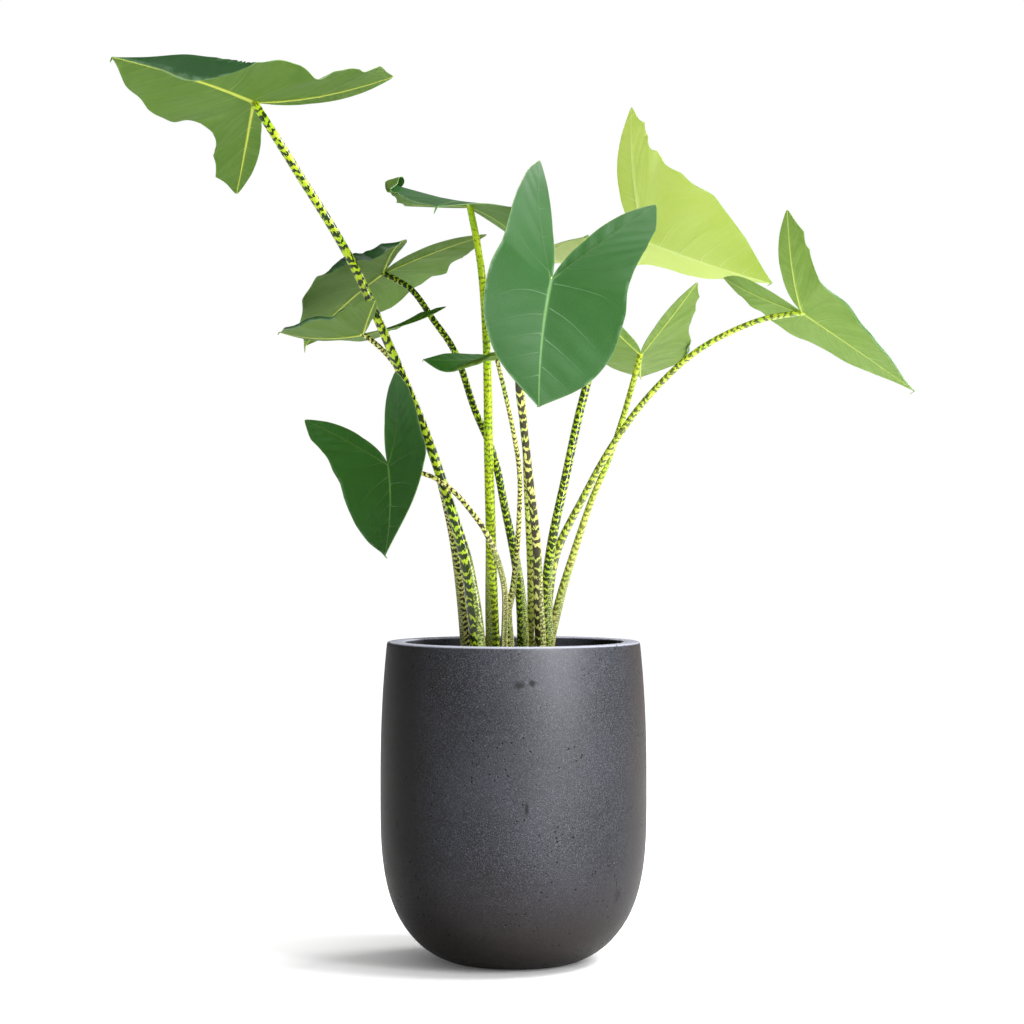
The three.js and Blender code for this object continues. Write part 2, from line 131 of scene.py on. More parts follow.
class Wire:
    """A node's output. Python's arithmetic on it adds Math nodes."""

    def __init__(self, finish, socket):
        self.finish = finish
        self.socket = socket

    def maths(self, operation, *others):
        sockets = dict(enumerate([self, *others]))
        return self.finish.node("ShaderNodeMath", {"operation": operation}, sockets)

    def __add__(self, other):
        return self.maths("ADD", other)

    def __radd__(self, other):
        return self.maths("ADD", other)

    def __sub__(self, other):
        return self.maths("SUBTRACT", other)

    def __rsub__(self, other):
        return (self * -1) + other

    def __mul__(self, other):
        return self.maths("MULTIPLY", other)

    def __rmul__(self, other):
        return self.maths("MULTIPLY", other)

    def __truediv__(self, other):
        return self.maths("DIVIDE", other)

    def __pow__(self, other):
        return self.maths("POWER", other)

    def __abs__(self):
        return self.maths("ABSOLUTE")

    def sine(self):
        return self.maths("SINE")

    def fraction(self):
        return self.maths("FRACT")

    def least(self, other):
        return self.maths("MINIMUM", other)

    def most(self, other):
        return self.maths("MAXIMUM", other)

    def ramp(self, low, high):
        """0 below low, 1 above high, and a soft step between them."""
        return self.finish.node("ShaderNodeMapRange", {"interpolation_type": "SMOOTHSTEP"},
                                {"Value": self, "From Min": low, "From Max": high})


class Finish:
    """A material, or the light all round, that is built from its nodes."""

    def __init__(self, name, kept_in=bpy.data.materials):
        self.made = kept_in.new(name)
        self.made.use_nodes = True
        self.tree = self.made.node_tree
        self.tree.nodes.clear()

    def node(self, kind, settings=None, sockets=None, output=0):
        """Adds a node with its settings and the values or links of its sockets, and gives one output."""
        node = self.tree.nodes.new(kind)
        for key, value in (settings or {}).items():
            setattr(node, key, value)
        for key, value in (sockets or {}).items():
            socket = node.inputs[key]
            if isinstance(value, Wire):
                self.tree.links.new(value.socket, socket)
            elif isinstance(value, tuple) and len(value) == 3 and socket.type == "RGBA":
                socket.default_value = (*value, 1)
            else:
                socket.default_value = value
        return Wire(self, node.outputs[output]) if node.outputs else None

    def mix(self, factor, first, second):
        """A colour between two: the first at 0 and the second at 1."""
        return self.node("ShaderNodeMix", {"data_type": "RGBA"},
                         {"Factor": factor, 6: first, 7: second}, output=2)

    def place(self, *scale):
        """Object coordinates, stretched."""
        here = self.node("ShaderNodeTexCoord", output=3)
        return self.scaled(here, *scale)

    def scaled(self, vector, *scale):
        """A vector times one number, or times one for each of its three."""
        size = scale if len(scale) == 3 else scale * 3
        return self.node("ShaderNodeVectorMath", {"operation": "MULTIPLY"}, {0: vector, 1: size})

    def cloud(self, vector, scale, detail=2.0, roughness=0.5):
        """Soft noise between 0 and 1."""
        return self.node("ShaderNodeTexNoise", {}, {
            "Vector": vector, "Scale": scale, "Detail": detail, "Roughness": roughness})

    def cells(self, vector, scale, feature="F1"):
        """The distance to the nearest cell's middle or edge."""
        return self.node("ShaderNodeTexVoronoi", {"feature": feature}, {"Vector": vector, "Scale": scale})

    def parts(self, vector):
        """A vector's three numbers."""
        return [self.node("ShaderNodeSeparateXYZ", {}, {0: vector}, output=i) for i in range(3)]

    def painted(self, name):
        """A vector that the piece's own mesh holds, whole and as its three numbers."""
        vector = self.node("ShaderNodeAttribute", {"attribute_name": name}, output=1)
        return vector, self.parts(vector)

    def bump(self, height, strength, distance, under=None):
        """A relief on top of the one under it. Its height is 0 to 1, and distance is what 1 stands for."""
        sockets = {"Height": height, "Strength": strength, "Distance": distance}
        if under is not None:
            sockets["Normal"] = under
        return self.node("ShaderNodeBump", {}, sockets)

    def glass(self, colour):
        """What light makes of a thin sheet when it shines through from behind."""
        return self.node("ShaderNodeBsdfTranslucent", {}, {"Color": colour})

    def layered(self, factor, first, second):
        """A finish between two: the first at 0 and the second at 1."""
        return self.node("ShaderNodeMixShader", {}, {0: factor, 1: first, 2: second})

    def done(self, shader, output="ShaderNodeOutputMaterial"):
        self.node(output, {}, {"Surface": shader})
        return self.made


def smoothed(piece, angle):
    """Shades a piece smooth, but for edges sharper than this angle in degrees."""
    pick(piece)
    bpy.ops.object.shade_smooth_by_angle(angle=math.radians(angle))


def finished(piece, material, smooth=35):
    piece.data.materials.clear()
    piece.data.materials.append(material)
    smoothed(piece, smooth)


def heights(low, high, steps):
    """Evenly spaced heights from low to high, both included."""
    return [low + (high - low) * i / steps for i in range(steps + 1)]


rim_start = planter_height - rim_edge
rim_turn = [math.radians(angle) for angle in (30, 60, 90)]
outside_heights = [0, 0.002, 0.005, 0.009, 0.015, *heights(0.024, rim_start, 20)]
foot = [(0.02, 0), (0.05, 0)]
outside = [(outer_radius(z), z) for z in outside_heights]
rim_out = [(rim_radius - rim_edge * (1 - math.cos(a)), rim_start + rim_edge * math.sin(a)) for a in rim_turn]
rim_in = [(rim_radius - rim_flat + rim_edge * (1 - math.cos(a)), rim_start + rim_edge * math.sin(a))
          for a in reversed(rim_turn)]
inside = [(inner_radius(z), z) for z in heights(rim_start, bowl_inside, 18)]
floor_inside = [(inside_floor, wall), (0.04, wall), (0.01, wall)]
planter = turned("planter_cast", foot + outside + rim_out + rim_in + inside + floor_inside, planter_sides)
modified(planter, "SUBSURF", levels=1, render_levels=1, use_limit_surface=False)

# Handling marks on the front, as (middle, width, height)
smudges = [((0.006, 0.338), 0.009, 0.006), ((0.021, 0.34), 0.005, 0.005), ((0.015, 0.197), 0.003, 0.009)]
grain_scale = 760
pit_scale = 125
speck_scale = 260


def planter_finish():
    """Near-black clay with paler sand grains and small pits. Its left side, right edge and foot are darker
    and browner, a brown cast with painted shade, and the top of its rim is painted pale as a highlight.
    """
    clay = Finish("planter_fibre_clay")
    here = clay.place(1)
    drift = clay.cloud(here, 9, 3)
    grain = clay.cloud(here, grain_scale, 3, 0.75)
    specks = 1 - clay.cells(here, speck_scale).ramp(0.12, 0.26)
    scatter = clay.cloud(here, 16, 2).ramp(0.53, 0.6)
    pits = (1 - clay.cells(here, pit_scale).ramp(0.11, 0.2)) * scatter
    pits = pits.most(specks * clay.cloud(here, 22, 2).ramp(0.55, 0.66) * 0.8)
    x, y, z = clay.parts(here)
    ragged = clay.cloud(here, 260, 3, 0.7)
    smudge = clay.cloud(here, 30, 4, 0.65).ramp(0.66, 0.74) * 0.4
    for (middle, height), width, tall in smudges:
        near = ((x - middle) / width) ** 2 + ((z - height) / tall) ** 2 + ragged * 2.4
        smudge = smudge.most((1 - near.ramp(1.2, 2.4)) * (1 - y.ramp(-0.05, 0)))
    # Darker, browner clay at the left side, the right edge and the foot: a brown cast mixed with painted
    # shade where the light falls away
    brown_cast_and_painted_shade = (1 - z.ramp(0.0, 0.16)).most(1 - (x + 0.03 * drift).ramp(-0.15, -0.07))
    brown_cast_and_painted_shade = brown_cast_and_painted_shade.most((x + 0.02 * drift).ramp(0.13, 0.165)) * (0.5 + 0.5 * drift.ramp(0.2, 0.55))
    colour = clay.mix(drift.ramp(0.35, 0.7), (0.0035, 0.0036, 0.004), (0.006, 0.0063, 0.0076))
    colour = clay.mix(grain.ramp(0.48, 0.64) * 0.6, colour, (0.027, 0.027, 0.031))
    colour = clay.mix(brown_cast_and_painted_shade * 0.8, colour, (0.0075, 0.0052, 0.004))
    colour = clay.mix(smudge * 0.9, colour, (0.0015, 0.0015, 0.0015))
    # The top of the rim is painted pale and bluish: a painted highlight where the lamps catch it
    colour = clay.mix(z.ramp(rim_start, planter_height), colour, (0.11, 0.112, 0.128))
    colour = clay.mix(pits * 0.95, colour, (0.001, 0.001, 0.001))
    relief = clay.bump(grain, 0.42, 0.0007)
    relief = clay.bump(1 - pits, 0.8, 0.001, relief)
    rough = 0.42 + 0.12 * grain + 0.3 * smudge.most(pits)
    return clay.done(clay.node("ShaderNodeBsdfPrincipled", {}, {
        "Base Color": colour, "Roughness": rough, "Normal": relief, "Specular IOR Level": 0.095}))


finished(planter, planter_finish())
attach(planter, "root")
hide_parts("planter")

# Soil. Moist potting soil fills the bowl to a few fingers' width below the rim and is a little higher
# in the middle, where the stalks rise from it. Its surface is crumbly, with loose crumbs lying on it.

soil_mound = 0.005
soil_gap = 0.0003
soil_rings = 84
soil_sides = 200
soil_middle = 0.0004
soil_edge = inner_radius(soil_top) - soil_gap
lump_height = 0.0026
grain_height = 0.0017
settled = 0.0016
crumb_count = 620
crumb_smallest = 0.0014
crumb_largest = 0.0034
crumb_margin = 0.006
draw = random.Random(7)


def soil_height(radius):
    return soil_top + soil_gap + soil_mound * (1 - (radius / soil_edge) ** 2)


soil_floor = [(0.02, wall + soil_gap), (inside_floor - soil_gap, wall + soil_gap)]
soil_flank = [(inner_radius(z) - soil_gap, z + soil_gap) for z in (bowl_inside, 0.06, 0.12, 0.18, 0.25, 0.3)]
soil_reach = [soil_edge * (1 - i / soil_rings) for i in range(soil_rings)]
soil_surface = [(reach + soil_middle, soil_height(reach)) for reach in soil_reach]
soil = turned("potting_soil_fill", soil_floor + soil_flank + soil_surface, soil_sides)


def corners(piece):
    """The places of a piece's vertices, one row each."""
    points = np.empty(len(piece.data.vertices) * 3)
    piece.data.vertices.foreach_get("co", points)
    return points.reshape(-1, 3)


def reshape(piece, points):
    piece.data.vertices.foreach_set("co", points.ravel())
    piece.data.update()


def crumble():
    """Lumps and grains break up the even mound, which settles a little. Its sides stay as they are."""
    points = corners(soil)
    radius = np.hypot(points[:, 0], points[:, 1])
    for i in np.nonzero((points[:, 2] > soil_top) & (radius < soil_edge - 0.001))[0]:
        x, y, _ = points[i]
        lumps = noise.noise(Vector((x, y, 0)) * 45) * lump_height
        grains = noise.noise(Vector((x, y, 1)) * 190) * grain_height
        points[i, 2] += lumps + grains - settled
    reshape(soil, points)


crumble()


def soil_finish():
    """Dark humus with paler grains and fibres."""
    humus = Finish("moist_potting_soil")
    here = humus.place(1)
    lumps = humus.cloud(here, 120, 4, 0.65)
    grains = humus.cells(here, 420)
    fibres = humus.cloud(humus.place(1, 3.5, 1), 300, 3).ramp(0.62, 0.7)
    colour = humus.mix(lumps.ramp(0.3, 0.7), (0.012, 0.008, 0.005), (0.05, 0.032, 0.02))
    colour = humus.mix(grains.ramp(0.5, 0.9) * 0.6, colour, (0.075, 0.05, 0.032))
    colour = humus.mix(fibres * 0.4, colour, (0.14, 0.1, 0.06))
    relief = humus.bump(lumps + grains * 0.5, 0.8, 0.0015)
    return humus.done(humus.node("ShaderNodeBsdfPrincipled", {}, {
        "Base Color": colour, "Roughness": 0.75 + 0.2 * lumps, "Normal": relief,
        "Specular IOR Level": 0.3}))


soil_material = soil_finish()
finished(soil, soil_material, smooth=50)
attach(soil, "root")
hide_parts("soil")

crumbs = []
for number in range(crumb_count):
    reach = (soil_edge - crumb_margin) * math.sqrt(draw.random())
    angle = draw.uniform(0, 2 * math.pi)
    size = draw.uniform(crumb_smallest, crumb_largest) * (1.5 if number % 9 == 0 else 1)
    place = (reach * math.cos(angle), reach * math.sin(angle), soil_height(reach) + size * 0.1)
    bpy.ops.object.select_all(action="DESELECT")
    bpy.ops.mesh.primitive_ico_sphere_add(subdivisions=1, radius=size, location=place)
    crumb = bpy.context.object
    crumb.scale = (draw.uniform(0.7, 1.5), draw.uniform(0.7, 1.2), draw.uniform(0.4, 0.8))
    crumb.rotation_euler = (draw.uniform(-0.4, 0.4), draw.uniform(-0.4, 0.4), draw.uniform(0, 6.28))
    crumbs.append(crumb)
pick(*crumbs)
bpy.ops.object.join()
bpy.ops.object.transform_apply()
soil_crumbs = bpy.context.object
soil_crumbs.name = "soil_crumbs"
finished(soil_crumbs, soil_material, smooth=70)
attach(soil_crumbs, "root")

# Leaf blades. Each is one thin grown sheet, about a millimetre thick, satin and dark green above and
# matt and paler below, where the midrib and the two lobe ribs stand out. The stalk meets it where its
# ribs meet, behind the notch between the lobes. Light from behind shines through as lime green, and
# each blade's colour also paints its light: darker as painted shade, and lime as painted backlight.

blade_thickness = 0.001
rib_depth = 0.0022
drip_share = 0.045
drip_width = 0.008
tip_hollow = 0.3
tip_span = 0.1
waist_row = 1.12
waist_span = 0.16
shoulder_share = 0.38
wide_spread = 0.7
blunt = 0.06
cheek_back = 0.22
cheek_out = 0.16
wave_height = 0.018
waves_a_half = 4
ruffle_height = 0.005
ruffles_a_half = 9
scallops_a_half = 3.5
hem_radius = 0.0016
full_hem = 0.003
rows_a_half = 56
rows_at_drip = 0.036
columns_out = 26
columns_in = 10
margin_columns = 0.35
margin_share = 0.14
margin_reach = 0.02
veins_a_half = 5.6
vein_angle = 28
vein_arch = 0.22
rib_width = 0.0009
lobe_rib_share = 0.65
rib_rise = 0.0004
quilt_height = 0.0003
least_reach = 0.00001


class Half:
    """One side of a leaf. Its width, lobe, bay and waist are shares of the leaf's length. Its spread, its
    folds at the joint, tip and lobe, and its curl are in degrees. bow bends the lobe's rib outward, and
    a larger full widens the half sooner behind the tip."""

    def __init__(self, width, lobe, spread, fold, curl, bay, waist, bow=0, full=2.3):
        self.width = width
        self.lobe = lobe
        self.spread = math.radians(spread)
        self.fold = [math.radians(angle) for angle in fold]
        self.curl = math.radians(curl)
        self.bay = bay
        self.waist = waist
        self.bow = bow
        self.full = full


class Leaf:
    """A blade's place, turn and form, and its stalk's route from the planter's rim up to the joint.

    turn is its yaw, pitch and roll, droop how far its midrib bends, and hook how far its drip tip does,
    in degrees. radii are the stalk's at its top, middle and foot, and sheath is the way its wings face.
    look is the blade's painted light, which darkens it below 1 as painted shade and turns it lime above 1
    as painted light shining through from behind, then the stalk's cream at its top and foot, the cover
    of its marks there, the share of its height past which it is plain, and its bands' height. ink is how
    dark the marks are at the top, and gloss how wet the stalk looks. A hem has its first and last row,
    its width, its turn in degrees and which end is wider. rib is how much the ribs widen towards the
    joint. Rows run from the tip, 0, past the joint, 1, to the end of the lobes, 2."""

    def __init__(self, name, joint, turn, length, droop, sweep, left, right, path, radii, sheath, look,
                 scallop=0.03, frill=1, hems=None, rib=0.011, gloss=0.3, ink=1, hook=60):
        self.name = name
        self.joint = np.array(joint)
        self.turn = [math.radians(angle) for angle in turn]
        self.length = length
        self.droop = math.radians(droop)
        self.sweep = sweep
        self.halves = {1: Half(*left), -1: Half(*right)}
        self.path = path
        self.radii = radii
        self.sheath = sheath
        self.tone, self.cream_top, self.cream_base = look[:3]
        self.cover_top, self.cover_base, self.plain_from, self.band = look[3:]
        self.scallop = scallop
        self.frill = frill
        self.hems = hems or {}
        self.rib = rib
        self.gloss = gloss
        self.ink = ink
        self.hook = math.radians(hook)


# The first number in each look is the blade's painted light: below 1 it paints the blade in shade, above 1
# it paints it lime as if light shone through from behind
leaves = [
    Leaf("far_left", (-0.312, -0.01, 1.029), (-122, -7, 10), 0.217, 0, -0.15,
         (0.45, 0.91, 36, (5, -1, 47), 13, 0.07, 0.05),
         (0.43, 0.95, 43, (-6, -14, -7), 33, 0.08, 0.16),
         [(-0.045, -0.008, 0.375), (-0.056, -0.008, 0.469), (-0.07, -0.007, 0.524), (-0.103, -0.006, 0.624),
          (-0.147, -0.012, 0.731), (-0.195, -0.018, 0.838), (-0.266, -0.016, 0.955)],
         (0.0046, 0.0056, 0.008), (1, 0), (0.5, 0, 0.1, 0.3, 0.6, 0.86, 0.011),
         frill=1.2, hems={1: (0.02, 0.58, 0.05, 165, 1.9)}, rib=0.016, gloss=0.6),
    Leaf("left", (-0.162, 0.085, 0.833), (137, 23, 0), 0.162, 16, 0.03,
         (0.56, 0.92, 33, (3, -10, -12), 13, 0.06, 0.03),
         (0.57, 0.88, 24, (2, -2, -10), 0, 0.14, 0),
         [(0.01, 0.014, 0.374), (0.008, 0.014, 0.43), (0.002, 0.015, 0.478), (-0.01, 0.018, 0.539),
          (-0.024, 0.024, 0.605), (-0.047, 0.032, 0.661), (-0.072, 0.046, 0.733), (-0.098, 0.058, 0.772),
          (-0.127, 0.072, 0.812)],
         (0.0033, 0.0044, 0.006), (1, 0), (0.5, 0, 0.1, 0.55, 0.6, 1, 0.007),
         scallop=0.06, hems={1: (0.88, 1.95, 0.02, 160, 1)}),
    Leaf("left_low", (-0.182, 0.016, 0.752), (145, 7, 6), 0.128, -20, 0.07,
         (0.53, 0.84, 45, (11, 7, 17), 12, 0.04, 0.03),
         (0.55, 0.8, 34, (14, -3, 50), 22, 0.12, 0.03),
         [(-0.057, 0.012, 0.374), (-0.068, 0.012, 0.472), (-0.078, 0.012, 0.527), (-0.098, 0.012, 0.605),
          (-0.12, 0.013, 0.669), (-0.141, 0.014, 0.711), (-0.159, 0.015, 0.733)],
         (0.0028, 0.0034, 0.005), (-1, 0), (0.5, 0.9, 1, 0.4, 0.5, 1, 0.006),
         hems={1: (0.05, 1.4, 0.006, 150, 1)}),
    Leaf("top", (-0.053, 0.014, 0.907), (-93, 1, -19), 0.183, 18, -0.09,
         (0.48, 1.0, 24, (8, 18, -14), -1, 0.13, 0.03),
         (0.57, 0.96, 33, (-5, -17, -15), -8, 0.11, 0.03),
         [(-0.023, 0.004, 0.375), (-0.025, 0.005, 0.43), (-0.028, 0.008, 0.536), (-0.03, 0.011, 0.61),
          (-0.031, 0.014, 0.683), (-0.033, 0.016, 0.75), (-0.04, 0.016, 0.838)],
         (0.0035, 0.0055, 0.007), (-1, 0), (0.5, 0, 0.1, 0.08, 0.5, 0.85, 0.0065),
         hems={-1: (0.5, 1.35, 0.02, -150, 1)}, ink=0.72),
    Leaf("front", (0.043, -0.11, 0.803), (-109, 58, -38), 0.168, 2, 0.1,
         (0.55, 1.1, 35, (19, 1, 6), 1, 0.08, 0.03, 0, 3.1),
         (0.52, 1.03, 15, (25, -10, 27), 22, 0.13, 0.05, 0.09, 3.1),
         [(0.031, -0.014, 0.376), (0.029, -0.02, 0.426), (0.027, -0.034, 0.5), (0.019, -0.052, 0.573),
          (0.011, -0.074, 0.644), (0.006, -0.093, 0.687), (0.011, -0.11, 0.748)],
         (0.0034, 0.0045, 0.0055), (1, 0), (0.7, 0.7, 0.9, 0.5, 0.6, 1, 0.012),
         scallop=0.01, frill=0.35, rib=0.013, hook=115),
    Leaf("upper_right", (0.163, 0.1, 0.875), (-15, 23, -33), 0.171, -3, -0.06,
         (0.57, 0.96, 55, (19, 29, 4), 2, 0.12, 0.02),
         (0.64, 1.0, 62, (27, 5, 40), -23, 0.14, -0.03, 0, 2.9),
         [(0.04, 0.002, 0.375), (0.039, 0.002, 0.445), (0.046, 0.004, 0.5), (0.062, 0.012, 0.574),
          (0.078, 0.024, 0.648), (0.091, 0.038, 0.7), (0.098, 0.052, 0.745), (0.122, 0.078, 0.812)],
         (0.0048, 0.0051, 0.0056), (1, 0), (2, 0, 0.2, 0.4, 0.6, 0.95, 0.007),
         scallop=0.035, frill=0.6, rib=0.014, gloss=1, hook=115),
    Leaf("rear_small", (0.04, 0.04, 0.851), (83, 0, -12), 0.107, 0, -0.07,
         (0.55, 1.0, 19, (6, 6, 19), -1, 0.12, 0.03),
         (0.55, 1.02, 29, (10, 10, -6), -1, 0.14, 0.03),
         [(0.021, 0.028, 0.374), (0.021, 0.028, 0.425), (0.02, 0.028, 0.478), (0.016, 0.03, 0.574),
          (0.013, 0.033, 0.648), (0.01, 0.035, 0.695), (0.016, 0.038, 0.77)],
         (0.0032, 0.0037, 0.0046), (0, 1), (1.8, 0.4, 0.8, 0.32, 0.22, 1, 0.007)),
    Leaf("right", (0.154, 0.02, 0.728), (88, 19, -4), 0.129, -20, -0.03,
         (0.41, 1.04, 30, (15, 19, 19), 1, 0.1, 0.03, 0, 4),
         (0.53, 1.06, 32, (23, 10, 20), -19, 0.1, 0.02, 0, 4),
         [(0.043, 0.031, 0.374), (0.055, 0.03, 0.429), (0.074, 0.03, 0.49), (0.095, 0.029, 0.551),
          (0.114, 0.028, 0.596), (0.132, 0.026, 0.648), (0.144, 0.023, 0.69)],
         (0.0032, 0.0037, 0.005), (1, 0), (1.12, 0, 1, 0.28, 0.45, 0.88, 0.007),
         hems={1: (0.35, 0.9, 0.007, 160, 1), -1: (0.35, 0.9, 0.007, 160, 1)}, ink=0.7),
    Leaf("far_right", (0.341, -0.06, 0.771), (5, 33, -15), 0.162, 4, -0.02,
         (0.54, 0.87, 46, (7, 12, 6), -31, 0.19, -0.05),
         (0.52, 0.9, 52, (3, -16, 37), 1, 0.11, 0.05),
         [(0.042, 0.017, 0.374), (0.043, 0.018, 0.43), (0.053, 0.018, 0.488), (0.084, 0.017, 0.553),
          (0.119, 0.01, 0.616), (0.164, -0.008, 0.677), (0.222, -0.028, 0.73), (0.292, -0.048, 0.763)],
         (0.0031, 0.0041, 0.0054), (-1, 0), (1.2, 0, 0.4, 0.3, 0.55, 0.86, 0.008),
         frill=0.6, hems={-1: (0.02, 1.6, 0.004, 150, 0.7)}, gloss=1, ink=0.85, hook=115),
    Leaf("low_left", (-0.15, -0.014, 0.592), (-75, 58, 50), 0.124, -9, -0.12,
         (0.54, 1.0, 37, (9, 17, 29), -42, 0.18, 0.04),
         (0.53, 1.05, 41, (11, -12, 30), -29, 0.1, -0.04),
         [(-0.011, -0.014, 0.376), (-0.011, -0.016, 0.446), (-0.021, -0.018, 0.484), (-0.035, -0.02, 0.515),
          (-0.05, -0.02, 0.536), (-0.069, -0.02, 0.558), (-0.093, -0.017, 0.576), (-0.122, -0.012, 0.586)],
         (0.0026, 0.003, 0.0042), (0, -1), (0.62, 1, 1, 0.4, 0.5, 1, 0.007), scallop=0.01, frill=0.3),
    Leaf("young", (-0.02, -0.044, 0.718), (173, 5, -16), 0.088, -9, -0.02,
         (0.59, 0.8, 28, (14, -26, 8), 9, 0.12, 0.03),
         (0.58, 0.8, 28, (-11, 12, 8), 9, 0.12, 0.03),
         [(-0.005, -0.003, 0.375), (-0.007, -0.003, 0.417), (-0.001, -0.003, 0.445), (0.004, -0.005, 0.491),
          (0.007, -0.011, 0.536), (0.007, -0.019, 0.585), (-0.003, -0.03, 0.646)],
         (0.0025, 0.003, 0.0042), (1, 0), (0.92, 0.9, 1, 0.3, 0.5, 1, 0.0055),
         frill=0.5, hems={1: (0.5, 1.3, 0.014, -165, 1)}),
]


def lobe_tip(leaf, half):
    """The end of a lobe, as [along, out]: along the midrib, and out to the side."""
    reach = half.lobe * leaf.length
    return np.array([-reach * math.cos(half.spread), reach * math.sin(half.spread)])


def spine(leaf, half, row):
    """The middle line of a half, as [along, out]: the midrib before row 1 and the lobe's rib after it."""
    ahead = leaf.length * (1 + drip_share) * (1 - np.minimum(row, 1))
    q = np.maximum(row - 1, 0)[:, None]
    tip = lobe_tip(leaf, half)
    behind = q * tip + half.bow * np.sin(math.pi * q) * np.array([tip[1], -tip[0]])
    return np.stack([ahead, np.zeros_like(row)], axis=1) + behind


def blunting(q):
    """What rounds the end of a lobe: added to both its margins, as a share of its length."""
    return blunt * np.sqrt(np.clip(1 - q, 0, 1)) * np.clip((q - 0.4) / 0.4, 0, 1)


def outer_margin(leaf, half, row):
    """The margin from the drip tip over the widest place, at row 1, and round the lobe to its end."""
    widest = half.width * leaf.length
    notch = 1 - half.waist * np.exp(-(((row - waist_row) / waist_span) ** 2))
    x = np.minimum(row, 1) * (1 + drip_share) - drip_share
    drip = np.sqrt(np.clip(1 + x / drip_share, 0, None))
    taper = np.where(x < 0, drip, np.clip(1 - x / tip_span, 0, None))
    inward = np.clip(x, 0, None)
    body = (1 - (1 - inward) ** half.full) * (1 - tip_hollow * np.exp(-inward / tip_span))
    body = np.where(x < 0, 0, body)
    ahead = np.stack([leaf.length * (1 - x), (widest * body + drip_width * leaf.length * taper)], axis=1)
    tip = lobe_tip(leaf, half)
    reach = half.lobe * leaf.length
    cos, sin = math.cos(half.spread), math.sin(half.spread)
    beyond = max(tip[1] - widest, 0)
    shoulder = np.array([-shoulder_share * reach * min(cos / wide_spread, 1), widest + beyond / 3])
    cheek = tip + reach * np.array([cheek_back * cos + cheek_out * sin, cheek_out * cos - cheek_back * sin])
    cheek[1] += beyond / 3
    q = np.clip(row - 1, 0, 1)[:, None]
    p = 1 - q
    start = np.array([0, widest])
    behind = p ** 3 * start + 3 * p * p * q * shoulder + 3 * p * q * q * cheek + q ** 3 * tip
    behind = behind + reach * blunting(q) * np.array([sin, cos])
    margin = np.where((row < 1)[:, None], ahead, behind)
    margin[:, 1] *= notch * (1 - leaf.scallop * np.abs(np.sin(math.pi * scallops_a_half * row)))
    return margin


def inner_margin(leaf, half, row):
    """The margin between the lobe's rib and the notch, a shallow bay beside the rib."""
    q = row - 1
    bulge = half.lobe * leaf.length * (half.bay * np.sin(math.pi * q ** 0.8) + blunting(q))
    side = np.array([math.sin(half.spread), math.cos(half.spread)])
    return spine(leaf, half, row) - bulge[:, None] * side


def bend(total, q):
    """How far a rib that turns evenly through an angle runs on and drops, by its share q."""
    if abs(total) < 0.0001:
        return np.zeros_like(q), q, np.zeros_like(q)
    return total * q, np.sin(total * q) / total, (1 - np.cos(total * q)) / total


def turned_about(vector, axis, angle):
    """A vector that is turned round an axis."""
    return (vector * math.cos(angle) + np.cross(axis, vector) * math.sin(angle)
            + axis * np.dot(axis, vector) * (1 - math.cos(angle)))


def axes_of(leaf):
    """The ways that a blade's tip, left side and upper face point."""
    yaw, pitch, roll = leaf.turn
    forward = np.array([math.cos(pitch) * math.cos(yaw), math.cos(pitch) * math.sin(yaw), -math.sin(pitch)])
    left = np.array([-math.sin(yaw), math.cos(yaw), 0])
    up = np.cross(forward, left)
    return forward, turned_about(left, forward, roll), turned_about(up, forward, roll)


def wave(leaf, side, row, across):
    """How far the blade rises in its large waves and in the finer ruffle of its margin."""
    phase = leaf.joint[0] * 50 + side
    fade = np.sin(math.pi * row / 2)
    swell = wave_height * np.sin(math.pi * waves_a_half * row + phase) * fade * across ** 2
    ruffle = ruffle_height * np.sin(math.pi * ruffles_a_half * row + 3 * phase) * fade ** 2 * across ** 5
    return leaf.length * leaf.frill * (swell + ruffle)


def blade_points(leaf, side, flat, lift):
    """Flat points of a half in the room: folded along the midrib, bent along it, swept and turned."""
    half = leaf.halves[side]
    along, out = flat[:, 0], flat[:, 1]
    reach = half.lobe * leaf.length
    ahead = np.maximum(along / leaf.length, 0)
    behind = np.clip(-along / reach, 0, 1)
    at_joint, at_tip, at_lobe = half.fold
    fold = at_joint + (at_tip - at_joint) * np.minimum(ahead, 1) + (at_lobe - at_joint) * behind
    raised = out * np.sin(fold) + lift
    front = [leaf.length * value for value in bend(leaf.droop, ahead)]
    back = [reach * value for value in bend(half.curl, behind)]
    beyond = np.maximum(along - leaf.length, 0)
    front[1] = front[1] - beyond * (1 - math.cos(leaf.hook))
    front[2] = front[2] + beyond * math.sin(leaf.hook)
    before = along >= 0
    turn = np.where(before, front[0] / leaf.length, back[0] / reach)
    run = np.where(before, front[1] + raised * np.sin(turn), -back[1] - raised * np.sin(turn))
    height = raised * np.cos(turn) - np.where(before, front[2], back[2])
    sideways = side * out * np.cos(fold) + leaf.sweep * leaf.length * np.minimum(ahead, 1) ** 2
    forward, left, up = axes_of(leaf)
    return leaf.joint + np.outer(run, forward) + np.outer(sideways, left) + np.outer(height, up)


def hem_at(leaf, side, row):
    """How wide the margin is rolled over at a row, and how far round, in radians: down is above 0."""
    if side not in leaf.hems:
        return np.zeros_like(row), 0
    start, end, width, turn, lean = leaf.hems[side]
    place = np.clip((row - start) / (end - start), 0, 1)
    return width * np.sin(math.pi * place ** lean) ** 0.8, math.radians(turn)


